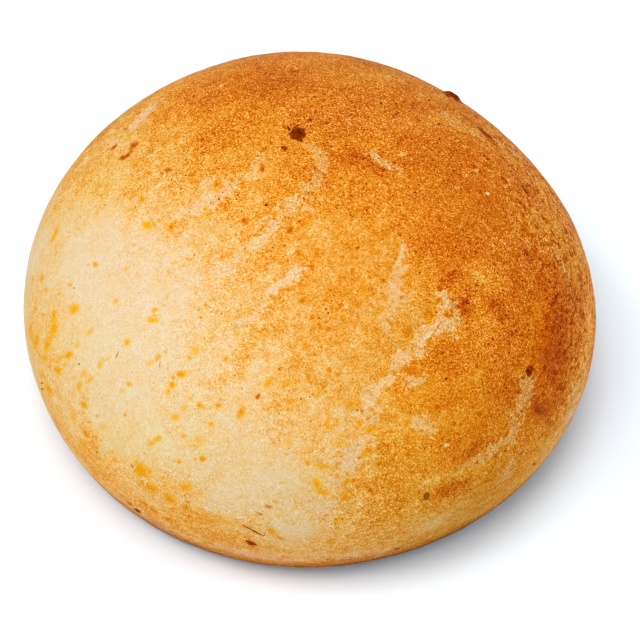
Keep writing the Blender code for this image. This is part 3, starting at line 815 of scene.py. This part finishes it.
def crustMaterial():
    mat = bpy.data.materials.new("crust")
    mat.use_nodes = True
    tree = mat.node_tree
    tree.nodes.clear()
    links = tree.links

    def put(kind, **settings):
        n = tree.nodes.new(kind)
        for key, value in settings.items():
            setattr(n, key, value)
        return n

    def feed(socket, value):
        if hasattr(value, "links"):
            links.new(value, socket)
        else:
            socket.default_value = value

    def calc(operation, a, b=0.0, c=0.0, clamp=False):
        n = put("ShaderNodeMath", operation=operation, use_clamp=clamp)
        feed(n.inputs[0], a)
        feed(n.inputs[1], b)
        feed(n.inputs[2], c)
        return n.outputs[0]

    def total(*parts):
        out = parts[0]
        for part in parts[1:]:
            out = calc("ADD", out, part)
        return out

    def weighed(parts, weights):
        return total(*[calc("MULTIPLY", part, weight) for part, weight in zip(parts, weights)])

    def between(share, a, b):
        # a where the share is 0, b where it is 1
        return calc("MULTIPLY_ADD", share, b - a, a)

    def soften(value, low, high):
        n = put("ShaderNodeMapRange", interpolation_type="SMOOTHSTEP")
        feed(n.inputs["Value"], value)
        feed(n.inputs["From Min"], low)
        feed(n.inputs["From Max"], high)
        return n.outputs["Result"]

    def vectorCalc(operation, a, b):
        n = put("ShaderNodeVectorMath", operation=operation)
        feed(n.inputs[0], a)
        feed(n.inputs["Scale" if operation == "SCALE" else 1], b)
        return n.outputs[0]

    def joined(x, y, z=0.0):
        n = put("ShaderNodeCombineXYZ")
        for socket, value in zip(n.inputs, (x, y, z)):
            feed(socket, value)
        return n.outputs[0]

    def parted(vector):
        n = put("ShaderNodeSeparateXYZ")
        feed(n.inputs[0], vector)
        return n.outputs

    def mixColours(amount, a, b):
        n = put("ShaderNodeMix", data_type="RGBA")
        feed(n.inputs["Factor"], amount)
        feed(n.inputs[6], a)
        feed(n.inputs[7], b)
        return n.outputs[2]

    def screen(rgb):
        return (*[v / 255 for v in rgb], 1.0)

    def rampOf(value, rows):
        # the whole colour is worked out in screen values, and turned to light at the end
        low, high = rows[0][0], rows[-1][0]
        ramp = put("ShaderNodeValToRGB")
        place = calc("DIVIDE", calc("SUBTRACT", value, low), high - low)
        feed(ramp.inputs["Fac"], place)
        stops = ramp.color_ramp.elements
        while len(stops) > 1:
            stops.remove(stops[-1])
        for i, (at, rgb) in enumerate(rows):
            position = (at - low) / (high - low)
            stop = stops[0] if i == 0 else stops.new(position)
            stop.position = position
            stop.color = screen(rgb)
        return ramp.outputs["Color"]

    def layer(name, output="Fac"):
        return put("ShaderNodeAttribute", attribute_name=name).outputs[output]

    # low on the side the grain is drawn out level
    x, y, z = parted(put("ShaderNodeTexCoord").outputs["Object"])
    low = calc("MINIMUM", calc("SUBTRACT", z, colours["flatBelow"] * mm), 0.0)
    where = joined(x, y, calc("MULTIPLY_ADD", low, colours["flatness"], z))

    def noiseAt(vector, width, twist, detail=0.0):
        n = put("ShaderNodeTexNoise")
        feed(n.inputs["Vector"], vector)
        n.inputs["Scale"].default_value = 1 / (width * mm)
        n.inputs["Detail"].default_value = detail
        n.inputs["Distortion"].default_value = twist
        return n.outputs["Fac"]

    def noiseOf(width, twist=0.0):
        return calc("SUBTRACT", noiseAt(where, width, twist), 0.5)

    def dots(width, radius, share):
        cells = put("ShaderNodeTexVoronoi")
        feed(cells.inputs["Vector"], where)
        cells.inputs["Scale"].default_value = 1 / (width * mm)
        pick = put("ShaderNodeSeparateColor")
        feed(pick.inputs[0], cells.outputs["Color"])
        taken = calc("LESS_THAN", pick.outputs[0], share)
        size = calc("MULTIPLY", between(pick.outputs[1], *colours["dotSizes"]), radius / width)
        near = calc("DIVIDE", cells.outputs["Distance"], size)
        return calc("MULTIPLY", taken, calc("SUBTRACT", 1.0, soften(near, *colours["dotEdge"])))

    # wrinkles run level round the side
    around = calc("MULTIPLY", calc("ARCTAN2", y, x), colours["wrinkleRun"] * mm)
    skin = noiseAt(joined(around, z), colours["wrinkle"], colours["wrinkleTwist"], 1.0)
    crack = calc("SUBTRACT", soften(skin, *colours["wrinkleFrom"]), colours["wrinkleLevel"])
    wrinkle = calc("MULTIPLY", crack, layer("worn"))

    fine = noiseOf(colours["fine"])
    grain = noiseOf(colours["grain"], colours["grainTwist"])
    lump = noiseOf(colours["lump"])
    blotch = noiseOf(colours["blotch"])
    bakedLayer = layer("baked")
    browned = soften(bakedLayer, *colours["browned"])
    wellBaked = soften(bakedLayer, *colours["wellBaked"])

    def shareOf(pale, brown):
        # pale on pale dough, 1 on golden crust, brown on brown crust
        return calc("MULTIPLY", between(browned, pale, 1.0), between(wellBaked, 1.0, brown))

    # the baked crust: noise and crumbs shift the baking, and its blue is tuned by "cool", which along
    # the outlines is a painted sheen
    wobble = weighed((fine, grain, lump, blotch), colours["bakingShift"])
    level = calc("MULTIPLY_ADD", wobble, shareOf(*colours["bakingShares"]), bakedLayer)
    width, radius, part, shift = colours["crumbs"]
    crumbs = calc("MULTIPLY", dots(width, radius, part), soften(bakedLayer, *colours["crumbsFrom"]))
    level = calc("MULTIPLY_ADD", crumbs, shift, level)
    colour = vectorCalc("MULTIPLY", rampOf(level, colours["ramp"]), joined(1.0, 1.0, layer("cool")))

    # pale streaks
    ragged = weighed((grain, lump, blotch), colours["streakRagged"])
    paleMask = soften(calc("SUBTRACT", layer("pale"), ragged), *colours["streakEdge"])
    paleMask = calc("MULTIPLY", paleMask, layer("paleCover"))
    colour = mixColours(paleMask, colour, screen(colours["streak"]))

    # marks: how far out of the middle a place is, in half widths, and how much it is covered
    markX, markY, markTone = parted(layer("mark", "Vector"))
    strength, key, keySquared = parted(layer("markExtra", "Vector"))
    reach = calc("SQRT", total(calc("MULTIPLY", markX, markX), calc("MULTIPLY", markY, markY)))
    edge = total(reach, weighed((grain, lump), colours["markRagged"]))
    dark = soften(markTone, *colours["markDark"])
    inner, outer = zip(colours["softEdge"], colours["hardEdge"])
    cover = calc("SUBTRACT", 1.0, soften(edge, between(dark, *inner), between(dark, *outer)))
    differ = calc("SUBTRACT", keySquared, calc("MULTIPLY", key, key))
    cover = calc("MULTIPLY", cover, strength)
    cover = calc("MULTIPLY", cover, calc("SUBTRACT", 1.0, soften(differ, *colours["markSeam"])))
    byGrain, atMiddle, outwards = colours["markTone"]
    tone = calc("ADD", calc("MULTIPLY_ADD", grain, byGrain, markTone), atMiddle)
    tone = calc("MULTIPLY_ADD", calc("MINIMUM", reach, colours["markOut"]), outwards, tone)
    filled = calc("MULTIPLY", cover, colours["markCover"], clamp=True)
    colour = mixColours(filled, colour, rampOf(tone, colours["marks"]))

    # the grain (partly its own speckle, partly painted micro-shade and glints), the dark specks, the
    # light dots (painted glints) and the painted shade in the cracks of the wrinkles shift the lightness
    speckleShadeAndGlint = weighed((fine, grain, lump), colours["paintedGrainShading"])
    for width, radius, part, shift in (colours["darkDots"], colours["paintedGlints"]):
        speckleShadeAndGlint = calc("MULTIPLY_ADD", dots(width, radius, part), shift, speckleShadeAndGlint)
    speckleShadeAndGlint = calc("MULTIPLY_ADD", wrinkle, colours["wrinklePaintedShade"], speckleShadeAndGlint)
    share = calc("MULTIPLY", shareOf(*colours["paintedGrainShares"]), layer("rough"))
    share = calc("MULTIPLY", share, between(paleMask, 1.0, colours["streakGrain"]))
    share = calc("MULTIPLY", share, between(cover, 1.0, colours["markGrain"]))
    tints = zip(colours["goldTint"], colours["brownTint"])
    tint = joined(*[between(wellBaked, gold, brown) for gold, brown in tints])
    tinted = vectorCalc("SCALE", tint, calc("MULTIPLY", speckleShadeAndGlint, share))
    colour = vectorCalc("MAXIMUM", vectorCalc("ADD", colour, tinted), (0.0, 0.0, 0.0))

    # screen values turned to light, balanced against the lamps, and multiplied by the painted light and
    # shade
    paint = put("ShaderNodeGamma")
    feed(paint.inputs["Color"], colour)
    paint.inputs["Gamma"].default_value = colours["gamma"]
    balanced = vectorCalc("DIVIDE", paint.outputs[0], colours["light"])
    shaded = vectorCalc("SCALE", balanced, layer("paintedShading"))

    height = weighed((grain, lump, wrinkle), colours["relief"])
    bump = put("ShaderNodeBump")
    bump.inputs["Strength"].default_value = 1.0
    bump.inputs["Distance"].default_value = mm
    feed(bump.inputs["Height"], calc("MULTIPLY", height, shareOf(*colours["reliefShares"])))

    shader = put("ShaderNodeBsdfPrincipled")
    feed(shader.inputs["Base Color"], shaded)
    shader.inputs["Roughness"].default_value = colours["roughness"]
    shader.inputs["Specular IOR Level"].default_value = colours["gloss"]
    links.new(bump.outputs[0], shader.inputs["Normal"])
    out = put("ShaderNodeOutputMaterial")
    links.new(shader.outputs[0], out.inputs["Surface"])
    return mat


mesh.materials.clear()
mesh.materials.append(crustMaterial())
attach(bun, "root")
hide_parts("bun")
print("crust: painted")


# white table that runs off past the picture
table = {"size": 6.0, "colour": (251, 252, 252), "roughness": 0.9}


def makeTable():
    half = table["size"] / 2
    corners = [(-half, -half, 0), (half, -half, 0), (half, half, 0), (-half, half, 0)]
    sheet = bpy.data.meshes.new("table")
    sheet.from_pydata(corners, [], [(0, 1, 2, 3)])
    piece = bpy.data.objects.new("table", sheet)
    bpy.context.scene.collection.objects.link(piece)
    mat = bpy.data.materials.new("table")
    mat.use_nodes = True
    shader = mat.node_tree.nodes["Principled BSDF"]
    shader.inputs["Base Color"].default_value = screenColour(table["colour"])
    shader.inputs["Roughness"].default_value = table["roughness"]
    shader.inputs["Specular IOR Level"].default_value = 0.0
    sheet.materials.append(mat)
    return piece


makeTable()


# soft lamps: height and direction in degrees (0 is right, 90 is behind), how wide the light
# is in degrees, strength
lights = {
    "top": (90, 0, 30, 0.46),
    "overBack": (70, 75, 30, 0.42),
    "overLeft": (70, 180, 30, 0.42),
    "overFront": (70, 225, 30, 0.67),
    "left": (50, 180, 30, 1.03),
    "lowBack": (30, 60, 30, 0.40),
    "right": (55, 0, 30, 0.32),
    "front": (30, 270, 30, 0.86),
}
# faint cool light from all round. The room itself shows white
room = {"light": (0.0, 0.15, 0.26), "seen": (1.0, 1.0, 1.0)}


def makeLights():
    for name, (height, around, wide, strength) in lights.items():
        source = towards(math.radians(height), math.radians(around))
        lamp = bpy.data.lights.new(name, "SUN")
        lamp.angle = math.radians(wide)
        lamp.energy = strength
        piece = bpy.data.objects.new(name, lamp)
        piece.location = source
        piece.rotation_euler = source.to_track_quat("Z", "Y").to_euler()
        bpy.context.scene.collection.objects.link(piece)
    world = bpy.data.worlds.new("room")
    world.use_nodes = True
    tree = world.node_tree
    back = tree.nodes["Background"]
    path = tree.nodes.new("ShaderNodeLightPath")
    seen = tree.nodes.new("ShaderNodeMix")
    seen.data_type = "RGBA"
    tree.links.new(path.outputs["Is Camera Ray"], seen.inputs["Factor"])
    seen.inputs[6].default_value = (*room["light"], 1.0)
    seen.inputs[7].default_value = (*room["seen"], 1.0)
    tree.links.new(seen.outputs[2], back.inputs["Color"])
    bpy.context.scene.world = world


makeLights()
print("lights:", len(lights), "lamps and the room")


def makeCamera():
    cam = bpy.data.cameras.new("camera")
    cam.lens = view["lens"]
    cam.sensor_width = view["sensor"]
    cam.clip_start, cam.clip_end = view["clip"]
    piece = bpy.data.objects.new("camera", cam)
    piece.location = Vector(viewFrom) * mm
    piece.rotation_euler = (math.radians(90) - tilt, 0, 0)
    bpy.context.scene.collection.objects.link(piece)
    bpy.context.scene.camera = piece


makeCamera()
scene = bpy.context.scene
scene.view_settings.view_transform = "Standard"
scene.view_settings.look = "None"
print("camera: set")
